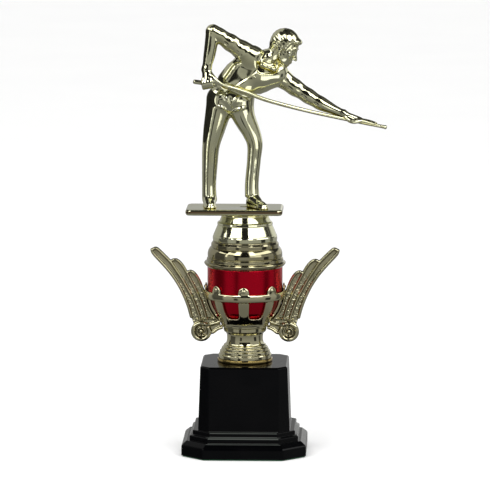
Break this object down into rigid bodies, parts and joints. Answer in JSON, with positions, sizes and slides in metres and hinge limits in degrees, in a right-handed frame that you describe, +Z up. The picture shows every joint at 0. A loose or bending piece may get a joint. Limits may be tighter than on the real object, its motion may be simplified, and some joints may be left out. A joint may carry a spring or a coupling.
{
  "type": "pool player trophy",
  "caption": "Free-standing trophy: stepped black base, winged gold cup with a red liner and ribbed cage, domed lid, and a gold pool player aiming a cue.",
  "frame": {"origin": "centre of the base's underside, on the axis of the tie rod", "axes": "+Z up along the tie rod, -Y the front that the player and the blank plate face look out of, +X the viewer's right, where the cue points"},
  "size_m": [0.1522, 0.081, 0.28],
  "materials": {
    "black_plastic": "polished black moulding",
    "champagne_gold": "vacuum-metallised pale gold, mirror-like",
    "yellow_gold": "vacuum-metallised yellow gold, mirror-like",
    "amber_gold": "vacuum-metallised deep gold, glossy",
    "red_metallic": "transparent red lacquer over bright metallising",
    "zinc_steel": "zinc plated",
    "green_felt": "pressed felt",
    "grey_board": "plain grey board",
    "plaster": "cast plaster"
  },
  "bodies": {
    "base": {"felt_pad": "green_felt", "base_cover": "grey_board", "base_shell": "black_plastic", "ballast_block": "plaster", "rod_washer": "zinc_steel", "rod_nut": "zinc_steel", "tie_rod": "zinc_steel"},
    "cup": {"foot_ring": "amber_gold", "stem": "champagne_gold", "cup_cage": "champagne_gold", "red_liner": "red_metallic", "left_wing": "champagne_gold", "right_wing": "champagne_gold", "lid": "champagne_gold", "cap_cone": "yellow_gold"},
    "figure": {"figure_plate": "yellow_gold", "figure_nut": "zinc_steel", "figure_front": "yellow_gold", "figure_rear": "yellow_gold", "cue": "yellow_gold"}
  },
  "joints": [
    {"name": "cup_turn", "type": "hinge", "parent": "base", "child": "cup", "pos_m": [0, 0, 0.059], "axis": [0, 0, 1], "continuous": true},
    {"name": "figure_turn", "type": "hinge", "parent": "cup", "child": "figure", "pos_m": [0, 0, 0.1565], "axis": [0, 0, 1], "continuous": true}
  ]
}
